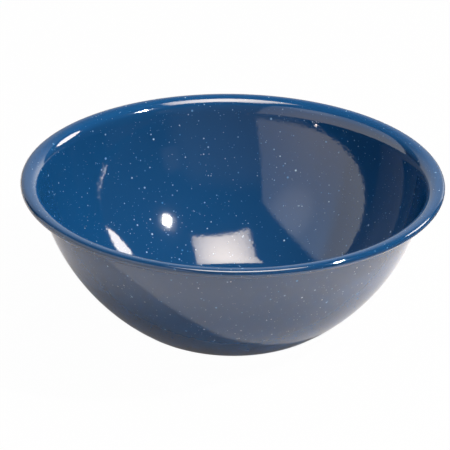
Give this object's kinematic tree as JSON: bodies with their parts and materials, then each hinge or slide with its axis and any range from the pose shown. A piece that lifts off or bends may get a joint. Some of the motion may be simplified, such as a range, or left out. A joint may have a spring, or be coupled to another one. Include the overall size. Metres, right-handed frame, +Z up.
{
  "type": "enamel mixing bowl",
  "caption": "Round enamelled steel mixing bowl with a curved wall, a flared lip, a rolled bead rim and a flat standing ring under its dished base.",
  "frame": {"origin": "on the floor plane under the middle of the base", "axes": "+Z up the bowl's axis of symmetry, out of its mouth; +X and +Y across it, alike because the bowl is round"},
  "size_m": [0.197, 0.197, 0.0734],
  "materials": {
    "steel": "satin",
    "ground_coat": "gloss",
    "blue_enamel": "gloss"
  },
  "bodies": {
    "root": {"steel_shell": "steel", "ground_coat_inside": "ground_coat", "ground_coat_outside": "ground_coat", "blue_enamel_inside": "blue_enamel", "blue_enamel_outside": "blue_enamel"}
  },
  "joints": []
}
